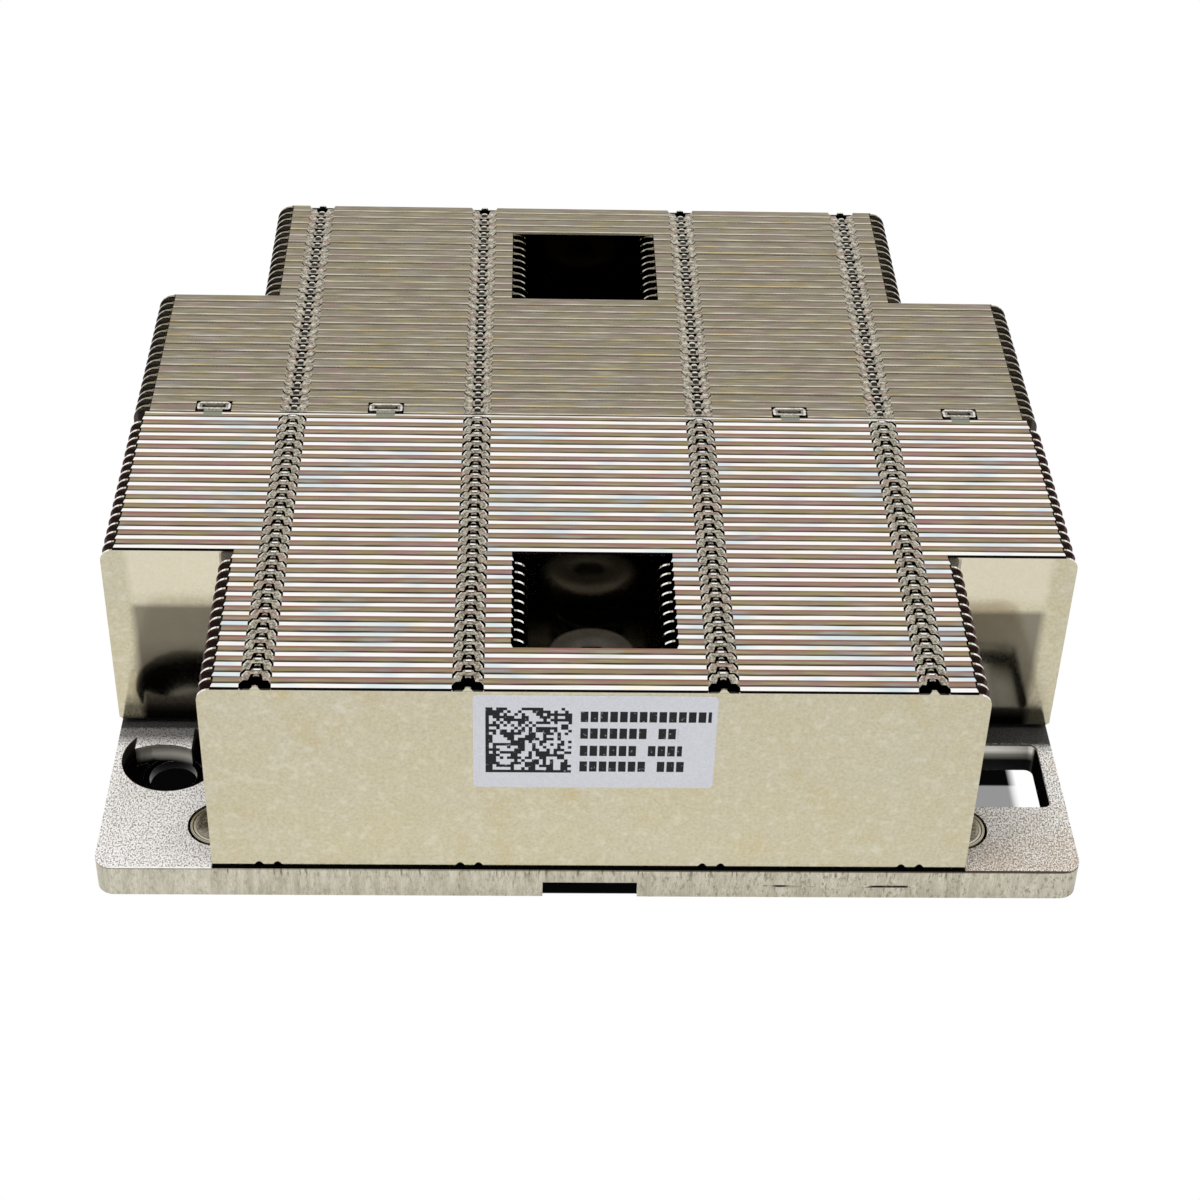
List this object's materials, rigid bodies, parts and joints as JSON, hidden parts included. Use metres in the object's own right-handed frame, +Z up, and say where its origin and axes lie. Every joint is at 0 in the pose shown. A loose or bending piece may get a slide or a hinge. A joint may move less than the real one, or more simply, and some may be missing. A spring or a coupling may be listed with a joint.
{
  "type": "passive server cpu heatsink",
  "caption": "Passive server CPU heatsink: interlocked folded fins in a cross-shaped stack on a heat spreader staked into a cast mounting frame, with spring-loaded captive screws.",
  "frame": {"origin": "centre of the contact face, at the middle of the part's footprint, on its lowest face", "axes": "+Z up, from the contact face towards the tops of the fins; +Y to the rear, along the stack of fins; +X to the right, along each fin; the labelled fin faces -Y"},
  "size_m": [0.1084, 0.1016, 0.031],
  "materials": {
    "plated_fin": "folded sheet with a bright, slightly mottled champagne nickel plating",
    "cast_frame": "cast and nickel plated, fine sparkling grain on top, brushed edges",
    "plated_copper": null,
    "screw_steel": "turned steel, bright zinc",
    "spring_wire": "drawn spring wire",
    "clip_steel": "stamped spring steel",
    "label_paper": "matt coated paper label with plain printed squares and bars"
  },
  "bodies": {
    "heatsink": {"front_fin_01": "plated_fin", "front_fin_02": "plated_fin", "front_fin_03": "plated_fin", "front_fin_04": "plated_fin", "front_fin_15": "plated_fin", "front_fin_16": "plated_fin", "front_fin_17": "plated_fin", "front_fin_18": "plated_fin", "front_fin_19": "plated_fin", "front_fin_20": "plated_fin", "front_fin_21": "plated_fin", "front_fin_22": "plated_fin", "front_fin_23": "plated_fin", "front_fin_24": "plated_fin", "front_fin_25": "plated_fin", "front_fin_26": "plated_fin", "front_fin_27": "plated_fin", "front_fin_28": "plated_fin", "front_fin_29": "plated_fin", "front_fin_30": "plated_fin", "front_left_window_fins": "plated_fin", "front_right_window_fins": "plated_fin", "heat_spreader": "plated_copper", "mounting_frame": "cast_frame", "part_label": "label_paper", "rear_fin_01": "plated_fin", "rear_fin_02": "plated_fin", "rear_fin_03": "plated_fin", "rear_fin_04": "plated_fin", "rear_fin_15": "plated_fin", "rear_fin_16": "plated_fin", "rear_fin_17": "plated_fin", "rear_fin_18": "plated_fin", "rear_fin_19": "plated_fin", "rear_fin_20": "plated_fin", "rear_fin_21": "plated_fin", "rear_fin_22": "plated_fin", "rear_fin_23": "plated_fin", "rear_fin_24": "plated_fin", "rear_fin_25": "plated_fin", "rear_fin_26": "plated_fin", "rear_fin_27": "plated_fin", "rear_fin_28": "plated_fin", "rear_fin_29": "plated_fin", "rear_fin_30": "plated_fin", "rear_left_window_fins": "plated_fin", "rear_right_window_fins": "plated_fin", "screw_spring_front": "spring_wire", "screw_spring_rear": "spring_wire"},
    "clip_front": {"retaining_clip_front": "clip_steel"},
    "screw_front": {"captive_screw_front": "screw_steel"},
    "clip_rear": {"retaining_clip_rear": "clip_steel"},
    "screw_rear": {"captive_screw_rear": "screw_steel"}
  },
  "joints": [
    {"name": "front_screw_plunge", "type": "slide", "parent": "heatsink", "child": "clip_front", "axis": [0, 0, -1], "range_m": [0, 0.004], "stiffness_N_per_m": 2000, "springref_m": -0.001, "deforming": ["screw_spring_front"]},
    {"name": "front_screw_turn", "type": "hinge", "parent": "clip_front", "child": "screw_front", "pos_m": [0, -0.03528, 0], "axis": [0, 0, 1], "continuous": true},
    {"name": "rear_screw_plunge", "type": "slide", "parent": "heatsink", "child": "clip_rear", "axis": [0, 0, -1], "range_m": [0, 0.004], "stiffness_N_per_m": 2000, "springref_m": -0.001, "deforming": ["screw_spring_rear"]},
    {"name": "rear_screw_turn", "type": "hinge", "parent": "clip_rear", "child": "screw_rear", "pos_m": [0, 0.03528, 0], "axis": [0, 0, 1], "continuous": true}
  ]
}
